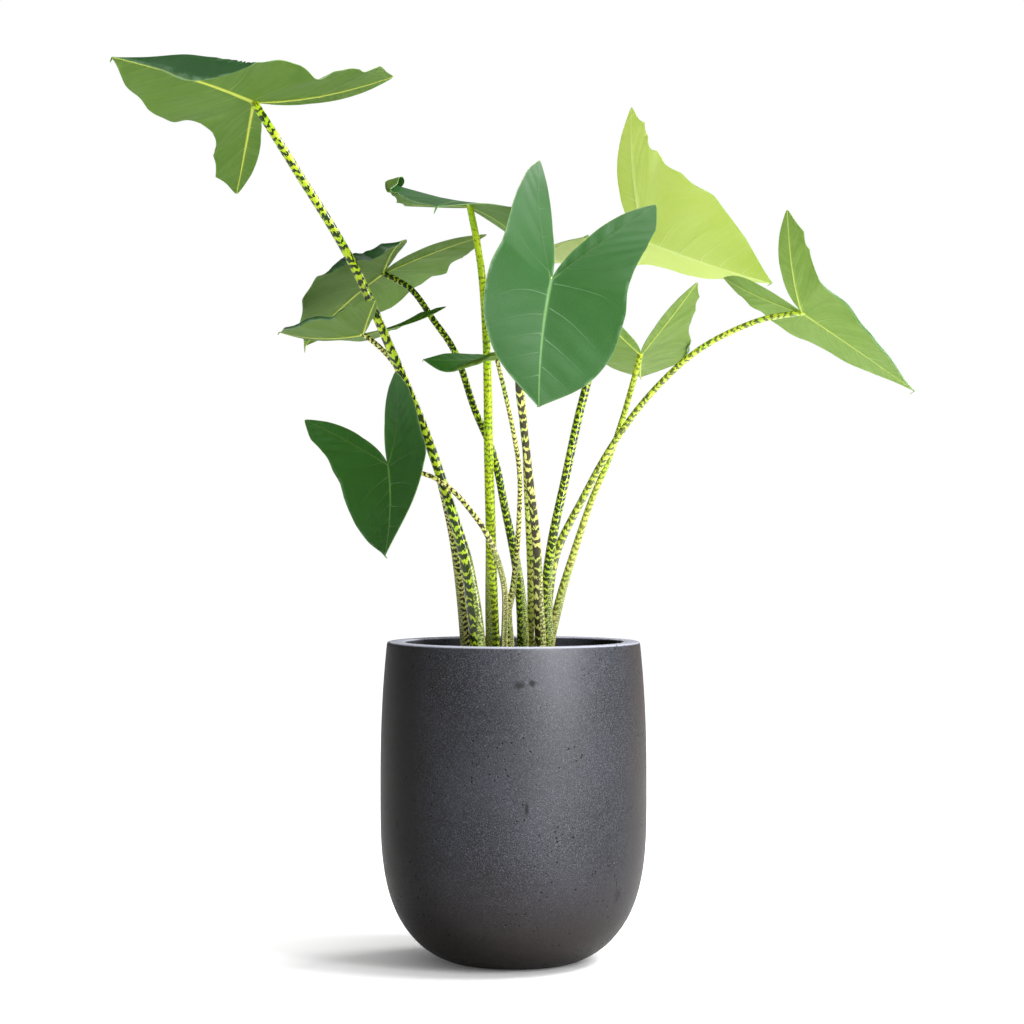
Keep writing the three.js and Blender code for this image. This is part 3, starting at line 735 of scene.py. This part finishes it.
def sheet_points(leaf, side, row, across, outward):
    """The points of a half sheet, flat and in the room, and each one's share of the way to the margin."""
    half = leaf.halves[side]
    line = spine(leaf, half, row)
    margin = outer_margin(leaf, half, row) if outward else inner_margin(leaf, half, row)
    reach = np.linalg.norm(margin - line, axis=1)
    outward_way = (margin - line) / np.maximum(reach, least_reach)[:, None]
    hem, turn = hem_at(leaf, side, row) if outward else (np.zeros_like(row), 0)
    flat_reach = np.maximum(reach - np.minimum(hem, hem_radius), 0)
    travelled = across * (flat_reach + hem)
    past = np.maximum(travelled - flat_reach, 0)
    curl = np.minimum(past / hem_radius, abs(turn) * np.clip(hem / full_hem, 0, 1))
    run = hem_radius * np.sin(curl) + (past - curl * hem_radius) * np.cos(curl)
    drop = hem_radius * (1 - np.cos(curl)) + (past - curl * hem_radius) * np.sin(curl)
    flat = line + outward_way * (np.minimum(travelled, flat_reach) + run)[:, None]
    share = np.minimum(travelled / np.maximum(flat_reach, least_reach), 1)
    lift = wave(leaf, side, row, share) if outward else np.zeros_like(row)
    return flat, blade_points(leaf, side, flat, lift - math.copysign(1, turn) * drop), share


def paint(piece, name, values):
    """Gives each vertex three numbers that the material reads."""
    layer = piece.data.attributes.new(name, "FLOAT_VECTOR", "POINT")
    layer.data.foreach_set("vector", np.ascontiguousarray(values, dtype=np.float32).ravel())


def away_from(flat, end, bow=0):
    """The distance of flat points from a line between the joint and an end, straight or bowed outward."""
    along = np.clip(flat @ end / np.dot(end, end), 0, 1)
    bowed = bow * np.sin(math.pi * along)[:, None] * np.array([end[1], -end[0]])
    return np.linalg.norm(flat - along[:, None] * end - bowed, axis=1)


def half_sheet(leaf, side, outward):
    """One half of the blade from its spine to the outer margin, or its lobe from rib to inner margin.

    Two vectors are painted on it. veins holds the distance to a rib in rib widths, the phase of the side
    veins and the share of the way to the margin, and leaf the distance to the margin, the row from the
    joint and the leaf's painted light, which darkens a blade as shade and turns it lime as backlight."""
    half = leaf.halves[side]
    rows, columns = (2 * rows_a_half, columns_out) if outward else (rows_a_half, columns_in)
    bpy.ops.object.select_all(action="DESELECT")
    bpy.ops.mesh.primitive_grid_add(x_subdivisions=rows, y_subdivisions=columns, size=2)
    sheet = bpy.context.object
    u, across = (corners(sheet)[:, :2].T + 1) / 2
    drip_start = drip_share / (1 + drip_share)
    row = np.interp(u, (0, rows_at_drip, 0.5, 1), (0, drip_start, 1, 2)) if outward else 1 + u
    if outward:
        across = np.interp(across, (0, 1 - margin_columns, 1), (0, 1 - margin_share, 1))
    flat, points, share = sheet_points(leaf, side, row, across, outward)
    reshape(sheet, points)
    if (side > 0) == outward:
        bpy.ops.object.mode_set(mode="EDIT")
        bpy.ops.mesh.select_all(action="SELECT")
        bpy.ops.mesh.flip_normals()
        bpy.ops.object.mode_set(mode="OBJECT")
    midrib = away_from(flat, np.array([leaf.length * (1 + drip_share), 0]))
    lobe_rib = away_from(flat, lobe_tip(leaf, half), half.bow)
    width = rib_width + leaf.rib * leaf.length * np.clip(1 - np.abs(row - 1), 0, 1)
    ribs = np.minimum(midrib / width, lobe_rib / (lobe_rib_share * width))
    lean = np.cos(math.pi * np.clip(row - 0.5, 0, 1)) if outward else -1
    reach = np.linalg.norm(flat - spine(leaf, half, row), axis=1)
    out = reach / leaf.length
    slant = lean * (math.tan(math.radians(vein_angle)) * out + vein_arch * out ** 2)
    phase = veins_a_half * (row + slant) + 0.3 * side * np.sin(5 * (row + slant)) + 0.25
    edge = np.minimum(reach * (1 - across) / np.maximum(across, 0.01), margin_reach)
    paint(sheet, "veins", np.stack([np.minimum(ribs, 9), phase, share], axis=1))
    paint(sheet, "leaf", np.stack([edge, row - 1, np.full_like(row, leaf.tone)], axis=1))
    return sheet


def relief(blade):
    """Raises the ribs, sinks the blade a little along its side veins, and swells it between them.

    Solidify has put the upper face's vertices first, and the lower face's after them in the same order."""
    points = corners(blade)
    veins = np.empty(points.size)
    leaf = np.empty(points.size)
    blade.data.attributes["veins"].data.foreach_get("vector", veins)
    blade.data.attributes["leaf"].data.foreach_get("vector", leaf)
    half = len(points) // 2
    veins, leaf = veins.reshape(-1, 3)[:half], leaf.reshape(-1, 3)[:half]
    up = points[:half] - points[half:]
    up /= np.linalg.norm(up, axis=1)[:, None]
    fade = np.clip(1 - np.abs(leaf[:, 1]), 0, 1)
    rib = np.exp(-(veins[:, 0] / 1.1) ** 2) * fade
    inside = np.sin(math.pi * np.clip(veins[:, 2], 0, 1)) ** 0.7
    quilt = quilt_height * np.cos(2 * math.pi * veins[:, 1]) * inside * np.minimum(fade * 3, 1)
    points[:half] += up * (rib_rise * rib + quilt - quilt_height)[:, None]
    points[half:] -= up * ((rib_depth - quilt_height) * rib - quilt)[:, None]
    reshape(blade, points)


def blade_finish(name, under):
    """Green flesh with paler ribs, side veins that arch towards the margin, and a fine net between."""
    flesh = Finish(name)
    here = flesh.place(1)
    veins, (rib, phase, across) = flesh.painted("veins")
    _, (edge, row, tone) = flesh.painted("leaf")
    fine = flesh.cloud(here, 700, 2, 0.7)
    ribs = 1 - rib.ramp(0.4, 0.95)
    nearest = abs((phase + 0.05 * flesh.cloud(here, 30, 1)).fraction() - 0.5)
    vein_width = 0.005 + 0.026 * (1 - across).most(0) ** 5
    ends = row.ramp(-0.88, -0.72) * (1 - row.ramp(0.6, 0.85))
    side_veins = (1 - (nearest / vein_width).ramp(0.5, 1.5)) * (1 - across.ramp(0.5, 0.85)) * ends
    streaks = flesh.cloud(flesh.scaled(veins, 0, 9, 0.8), 1, 3, 0.6)
    behind = row.ramp(0.0, 0.1)
    net = 1 - flesh.cells(here, 330, "DISTANCE_TO_EDGE").ramp(0, 0.1)
    drift = flesh.cloud(here, 16, 3, 0.55)
    mottle = flesh.cloud(here, 90, 3, 0.6)
    rim = 1 - edge.ramp(0.0002, 0.0009)
    # The painted light of a blade darkens it below 1 as painted shade; lime, its share above 1, paints the
    # blade lime as if lit from behind and lets more light through
    lime = tone.most(1) - 1
    if under:
        colour = flesh.mix(tone.least(1), (0.066, 0.15, 0.022), (0.2, 0.33, 0.045))
        colour = flesh.mix(lime, colour, (0.72, 0.78, 0.34))
        patches = flesh.mix(lime, (0.2, 0.3, 0.085), (0.85, 0.95, 0.6))
        colour = flesh.mix(drift.ramp(0.3, 0.75) * 0.35, colour, patches)
        colour = flesh.mix(mottle.ramp(0.4, 0.65) * (0.24 - 0.2 * lime), colour, (0.07, 0.17, 0.015))
        streak_colour = flesh.mix(lime, (0.06, 0.14, 0.02), (0.58, 0.7, 0.2))
        colour = flesh.mix(streaks.ramp(0.42, 0.62) * 0.5, colour, streak_colour)
        rib_colour = flesh.mix(lime, (0.72, 0.78, 0.11), (1.0, 1.0, 0.6))
        vein_colour = flesh.mix(lime, (0.4, 0.5, 0.1), (1.0, 1.0, 0.75))
        rib_share, vein_share, net_share = 1.0, 0.45, 0.1
        glow, lime_glow = (0.42, 0.62, 0.07), (0.86, 0.86, 0.32)
        bright, lime_bright = (0.75, 0.85, 0.2), (1.0, 1.0, 0.7)
        roughness, through = 0.6, 0.42 + 0.18 * lime
    else:
        colour = flesh.mix(tone.least(1) ** 3, (0.011, 0.043, 0.011), (0.042, 0.16, 0.03))
        colour = flesh.mix(drift.ramp(0.35, 0.75) * 0.4 * tone.least(1), colour, (0.035, 0.12, 0.04))
        colour = flesh.mix(mottle.ramp(0.4, 0.7) * 0.2, colour, (0.012, 0.075, 0.012))
        colour = flesh.mix(lime, colour, (0.06, 0.12, 0.014))
        colour = flesh.mix(streaks.ramp(0.45, 0.7) * 0.35 * tone.least(1), colour, (0.03, 0.1, 0.035))
        rib_colour = flesh.mix(behind, (0.13, 0.3, 0.08), (0.012, 0.05, 0.014))
        vein_colour = flesh.mix(behind, (0.25, 0.42, 0.25), (0.06, 0.17, 0.06))
        rib_share, vein_share, net_share = 0.62, 0.26, 0.05
        glow, lime_glow = (0.2, 0.5, 0.05), (0.6, 0.85, 0.1)
        bright = lime_bright = (0.5, 0.7, 0.2)
        roughness, through = 0.42, 0.2
    colour = flesh.mix(net * net_share, colour, vein_colour)
    colour = flesh.mix(side_veins * vein_share, colour, vein_colour)
    colour = flesh.mix(ribs * rib_share, colour, rib_colour)
    colour = flesh.mix(rim * 0.6, colour, (0.3, 0.42, 0.14))
    if not under:
        # A pale mottled band along the margin ahead of the joint on the upper face: a painted highlight
        # where the edge catches light
        painted_edge_highlight = (1 - edge.ramp(0.001, 0.005)) * (1 - row.ramp(0, 0.5)) * mottle.ramp(0.35, 0.65)
        colour = flesh.mix(painted_edge_highlight * 0.4, colour, (0.2, 0.34, 0.2))
    normal = flesh.bump(net * 0.4 + streaks * 0.6 + mottle * 0.4 + fine * 0.5, 0.25, 0.0006)
    normal = flesh.bump(side_veins if under else 1 - side_veins, 0.5, 0.0006, normal)
    skin = flesh.node("ShaderNodeBsdfPrincipled", {}, {
        "Base Color": colour, "Roughness": roughness + 0.2 * (mottle - 0.5), "Normal": normal,
        "Specular IOR Level": 0.2 if under else 0.16})
    veined = side_veins.most(ribs) * 0.7
    green_light = flesh.layered(veined, flesh.glass(glow), flesh.glass(bright))
    lime_light = flesh.layered(veined, flesh.glass(lime_glow), flesh.glass(lime_bright))
    return flesh.done(flesh.layered(through, skin, flesh.layered(lime, green_light, lime_light)))


blade_above = blade_finish("blade_upper_face", False)
blade_below = blade_finish("blade_lower_face", True)

for leaf in leaves:
    sheets = [half_sheet(leaf, side, outward) for side in (1, -1) for outward in (True, False)]
    pick(*sheets)
    bpy.ops.object.join()
    blade = bpy.context.object
    blade.name = f"blade_{leaf.name}_grown"
    bpy.ops.object.mode_set(mode="EDIT")
    bpy.ops.mesh.select_all(action="SELECT")
    bpy.ops.mesh.remove_doubles(threshold=0.00003)
    bpy.ops.mesh.dissolve_degenerate(threshold=0.00001)
    bpy.ops.object.mode_set(mode="OBJECT")
    blade.data.materials.append(blade_above)
    blade.data.materials.append(blade_below)
    modified(blade, "SOLIDIFY", thickness=blade_thickness, offset=0, material_offset=1,
             material_offset_rim=0, use_quality_normals=True)
    relief(blade)
    smoothed(blade, 50)
    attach(blade, "root")
    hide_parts(f"blade_{leaf.name}")

# Leaf stalks. Each is a juicy round rod that grows from the soil and carries one blade. Its foot
# widens to a sheath with two thin wings that once clasped the next leaf. Its skin is yellow-green or
# cream, with jagged dark green or brown bands across it.

stalk_sides = 32
stalk_foot = 0.29
sheath_height = 0.17
sheath_width = 0.8
groove_depth = 0.6
steps_a_stretch = 10


def route_of(leaf):
    """The stalk's middle line as points and directions: a smooth curve through the points of its path.

    It starts in the soil and runs on a little past the joint, where seat cuts it."""
    x, y, _ = leaf.path[0]
    knots = [(x, y, stalk_foot), *leaf.path, tuple(leaf.joint)]
    last, joint = np.array(knots[-2]), np.array(knots[-1])
    beyond = joint + (joint - last) / np.linalg.norm(joint - last) * 3 * leaf.radii[0]
    knots = np.array([*knots, tuple(beyond)])
    knots = np.vstack([2 * knots[0] - knots[1], knots, 2 * knots[-1] - knots[-2]])
    points, directions = [], []
    for i in range(1, len(knots) - 2):
        before, start, end, after = knots[i - 1:i + 3]
        gaps = [max(np.linalg.norm(b - a), 1e-6) ** 0.5 for a, b in zip(knots[i - 1:i + 2], knots[i:i + 3])]
        leave = (start - before) / gaps[0] - (end - before) / (gaps[0] + gaps[1]) + (end - start) / gaps[1]
        arrive = (end - start) / gaps[1] - (after - start) / (gaps[1] + gaps[2]) + (after - end) / gaps[2]
        leave, arrive = leave * gaps[1], arrive * gaps[1]
        square = -3 * start + 3 * end - 2 * leave - arrive
        cube = 2 * start - 2 * end + leave + arrive
        final = i == len(knots) - 3
        for step in range(steps_a_stretch + final):
            t = step / steps_a_stretch
            points.append(start + leave * t + square * t * t + cube * t ** 3)
            directions.append(leave + 2 * square * t + 3 * cube * t * t)
    directions = np.array(directions)
    return np.array(points), directions / np.linalg.norm(directions, axis=1)[:, None]


def rod(leaf):
    """A grid rolled up into a tube along the stalk's middle line, with a groove between its wings.

    Three vectors are painted on it. straight is its place on the stalk as if that were straight, in
    bands. skin holds its cream, and how dark and how close its marks are. foot holds the rim of the
    sheath's wings, how far it lies on the sheath, and its gloss."""
    centres, directions = route_of(leaf)
    rings = len(centres)
    bpy.ops.object.select_all(action="DESELECT")
    bpy.ops.mesh.primitive_grid_add(x_subdivisions=stalk_sides, y_subdivisions=rings - 1, size=2)
    stalk = bpy.context.object
    stalk.name = f"stalk_{leaf.name}_grown"
    turn, climb = (corners(stalk)[:, :2].T + 1) / 2
    angle = 2 * math.pi * turn
    ring = np.rint(climb * (rings - 1)).astype(int)
    centre, along = centres[ring], directions[ring]
    across = np.array([0, 1, 0]) - along * along[:, 1:2]
    across /= np.linalg.norm(across, axis=1)[:, None]
    third = np.cross(along, across)
    outward = across * np.cos(angle)[:, None] + third * np.sin(angle)[:, None]
    travelled = np.concatenate([[0], np.cumsum(np.linalg.norm(np.diff(centres, axis=0), axis=1))])
    share = ring / (rings - 1)
    radius = np.interp(share, (0, 0.5, 1), leaf.radii[::-1])
    fall = np.clip((centre[:, 2] - planter_height) / sheath_height, 0, 1)
    sheath = 1 - fall * fall * (3 - 2 * fall)
    clasp = np.array([*leaf.sheath, 0])
    facing = np.maximum(outward @ clasp, 0)
    groove = groove_depth * np.exp(-((1 - facing) / 0.035) ** 2)
    wing = sheath_width * sheath * facing ** 2 * (1 - groove)
    reshape(stalk, centre + outward * (radius * (1 + wing))[:, None])
    straight = np.stack([radius * np.cos(angle), radius * np.sin(angle), travelled[ring]], axis=1)
    cream = leaf.cream_base + (leaf.cream_top - leaf.cream_base) * share
    bare_top = np.clip((1 - share) / 0.015, 0, 1)
    plain = np.clip((share - leaf.plain_from) / 0.08, 0, 1) * (leaf.plain_from < 1)
    marked = (1 - (1 - leaf.ink) * np.clip(share * 2.5, 0, 1)) * (1 - plain) * bare_top
    cover = leaf.cover_base + (leaf.cover_top - leaf.cover_base) * share
    lip = np.exp(-((facing - 0.93) / 0.03) ** 2) * sheath
    paint(stalk, "straight", straight / leaf.band)
    paint(stalk, "skin", np.stack([cream, marked, cover], axis=1))
    paint(stalk, "foot", np.stack([lip, sheath * facing, leaf.gloss * bare_top], axis=1))
    return stalk


def seat(stalk, leaf):
    """Cuts the rod where it meets the blade, and folds its end to the blade's two halves."""
    forward, left, up = axes_of(leaf)
    pick(stalk)
    bpy.ops.object.mode_set(mode="EDIT")
    bpy.ops.mesh.select_all(action="SELECT")
    bpy.ops.mesh.remove_doubles(threshold=0.00001)
    bpy.ops.mesh.select_all(action="SELECT")
    bpy.ops.mesh.normals_make_consistent(inside=False)
    bpy.ops.mesh.bisect(plane_co=tuple(leaf.joint), plane_no=tuple(up), clear_outer=True, use_fill=True)
    bpy.ops.mesh.select_all(action="DESELECT")
    bpy.ops.mesh.select_non_manifold()
    bpy.ops.mesh.edge_face_add()
    bpy.ops.object.mode_set(mode="OBJECT")
    points = corners(stalk)
    offset = points - leaf.joint
    near = np.linalg.norm(offset, axis=1) < 4 * leaf.radii[0]
    sideways, height = offset @ left, offset @ up
    fold = np.where(sideways > 0, leaf.halves[1].fold[0], leaf.halves[-1].fold[0])
    surface = np.abs(sideways) * np.tan(fold) - 0.0002
    rise = np.where(near & ((height > surface) | (height > -0.00005)), surface - height, 0)
    reshape(stalk, points + np.outer(rise, up))


def stalk_finish():
    """Jagged bands that run across the stalk, finer and paler on the sheath at its foot."""
    skin = Finish("stalk_zebra_skin")
    here = skin.place(1)
    straight, (x, y, z) = skin.painted("straight")
    _, (cream, marked, cover) = skin.painted("skin")
    _, (lip, clasp, gloss) = skin.painted("foot")
    teeth = skin.cloud(skin.scaled(straight, 5, 5, 1.2), 1, 2, 0.6)
    swirl = skin.cloud(skin.scaled(straight, 1.3, 1.3, 0.7), 1, 1)
    bands = ((z + abs(x) * 0.7 + teeth * 0.9 + swirl * 1.8) * (2 * math.pi)).sine()
    patches = skin.cloud(skin.scaled(straight, 2.6, 2.6, 1.5), 1, 3, 0.7)
    coarse = (bands * 0.5 + (patches - 0.5) * 2.4 + (cover - 0.4) * 1.7).ramp(-0.08, 0.1)
    small = ((z * 2.6 + abs(x) * 1.4 + teeth * 1.2) * (2 * math.pi)).sine()
    fine_patches = skin.cloud(skin.scaled(straight, 7, 7, 4.5), 1, 2, 0.65)
    fine = (small * 0.25 + (fine_patches - 0.45) * 4).ramp(-0.1, 0.2)
    sheathed = clasp.ramp(0.12, 0.45)
    marks = (coarse * (1 - sheathed) + fine * sheathed * 0.85) * marked
    drift = skin.cloud(here, 40, 2)
    ground = skin.mix(cream, (0.46, 0.6, 0.01), (0.7, 0.68, 0.2))
    ground = skin.mix(drift.ramp(0.4, 0.75) * 0.5, ground, (0.3, 0.62, 0.02))
    ground = skin.mix(sheathed * 0.5, ground, (0.62, 0.72, 0.3))
    dark = skin.mix(cream, (0.004, 0.022, 0.003), (0.022, 0.013, 0.005))
    colour = skin.mix(marks * 0.97, ground, dark)
    colour = skin.mix(lip * 0.7, colour, (0.42, 0.36, 0.16))
    normal = skin.bump(marks, 0.1, 0.0003)
    return skin.done(skin.node("ShaderNodeBsdfPrincipled", {}, {
        "Base Color": colour, "Roughness": 0.4 + 0.12 * drift, "Normal": normal,
        "Specular IOR Level": 0.1, "Coat Weight": gloss, "Coat Roughness": 0.06, "Coat IOR": 1.55}))


stalk_skin = stalk_finish()
for leaf in leaves:
    stalk = rod(leaf)
    seat(stalk, leaf)
    finished(stalk, stalk_skin, smooth=60)
    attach(stalk, "root")
    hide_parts(f"stalk_{leaf.name}")

# Studio. A pale floor that glows and runs on as a plain white ground, its glow dimmed round the planter
# as painted shade, a tall soft light at the right, a soft light behind and above, and a camera a little
# above the planter's rim.

focal_pixels = 2400
camera_place = (-0.0018, -2.887, 0.517)
horizon_pixels = 16
frame_pixels = 1024
sensor_width = 36

bpy.ops.object.select_all(action="DESELECT")
bpy.ops.mesh.primitive_plane_add(size=60, location=(0, 0, 0))
ground = bpy.context.object
ground.name = "floor"
white = (1, 1, 1)
pale = Finish("pale_floor")
away = pale.node("ShaderNodeVectorMath", {"operation": "LENGTH"}, {0: pale.place(1)}, output=1)
# The floor's glow is painted light: dimmed near the planter as painted shade, and rising far off so the
# ground stays white
glow_with_painted_shade = pale.mix(away.ramp(0.05, 0.42), (0.05, 0.05, 0.05), (0.54, 0.54, 0.54))
ground.data.materials.append(pale.done(pale.node("ShaderNodeBsdfPrincipled", {}, {
    "Base Color": (0.9, 0.9, 0.9), "Roughness": 0.9, "Specular IOR Level": 0.0,
    "Emission Color": pale.mix(away.ramp(0.6, 2.2), glow_with_painted_shade, (0.72, 0.72, 0.72)),
    "Emission Strength": 0.9})))


def soft_light(name, size, place, target, power):
    """A rectangular lamp of a size in metres and a power in watts, turned towards a target."""
    lamp = bpy.data.lights.new(name, "AREA")
    lamp.shape = "RECTANGLE"
    lamp.size, lamp.size_y = size
    lamp.energy = power
    holder = bpy.data.objects.new(name, lamp)
    holder.location = place
    holder.rotation_euler = (Vector(target) - Vector(place)).to_track_quat("-Z", "Y").to_euler()
    bpy.context.scene.collection.objects.link(holder)
    return holder


def aim(lamp, state, piece):
    """Lets a lamp light one piece alone, INCLUDE, or all but that piece, EXCLUDE."""
    receivers = bpy.data.collections.new(f"{lamp.name}_receivers")
    receivers.objects.link(piece)
    receivers.collection_objects[0].light_linking.link_state = state
    lamp.light_linking.receiver_collection = receivers


soft_light("key_right", (1.2, 1.2), (1.7, -0.4, 2.9), (0, 0, 0.4), 115)
strip_right = soft_light("strip_right", (0.5, 1.5), (2.0, -1.7, 1.3), (0, 0, 0.6), 58)
back_right = soft_light("back_right", (1.0, 1.4), (1.8, 1.6, 1.6), (0, 0, 0.8), 60)
sheen = soft_light("planter_sheen", (0.7, 1.0), (1.45, -1.92, 1.35), (0, 0, 0.25), 700)
sheen.data.color = (0.95, 0.96, 1)
leaf_backlight = soft_light("leaf_backlight", (0.6, 0.6), (1.5, 1.3, 2.0), (0.2, 0.1, 0.9), 62)
aim(strip_right, "EXCLUDE", planter)
aim(back_right, "EXCLUDE", planter)
aim(sheen, "INCLUDE", planter)
aim(leaf_backlight, "INCLUDE", bpy.data.objects["blade_upper_right_grown"])

# The walls round the object are brighter at its right, and the camera sees them as plain white
walls = Finish("white_ground", bpy.data.worlds)
x, _, _ = walls.parts(walls.node("ShaderNodeTexCoord"))
strength = walls.node("ShaderNodeMapRange", {}, {
    "Value": x, "From Min": -0.7, "From Max": 0.7, "To Min": 0.3, "To Max": 0.6})
all_round = walls.node("ShaderNodeBackground", {}, {"Color": white, "Strength": strength})
seen = walls.node("ShaderNodeBackground", {}, {"Color": white, "Strength": 1})
by_camera = walls.node("ShaderNodeLightPath")
bpy.context.scene.world = walls.done(walls.layered(by_camera, all_round, seen), "ShaderNodeOutputWorld")

eye = bpy.data.cameras.new("front_view")
eye.sensor_width = sensor_width
eye.lens = sensor_width * focal_pixels / frame_pixels
camera = bpy.data.objects.new("front_view", eye)
camera.location = camera_place
camera.rotation_euler = (math.pi / 2 + math.atan(horizon_pixels / focal_pixels), 0, 0)
bpy.context.scene.collection.objects.link(camera)
bpy.context.scene.camera = camera
bpy.context.scene.view_settings.view_transform = "Standard"
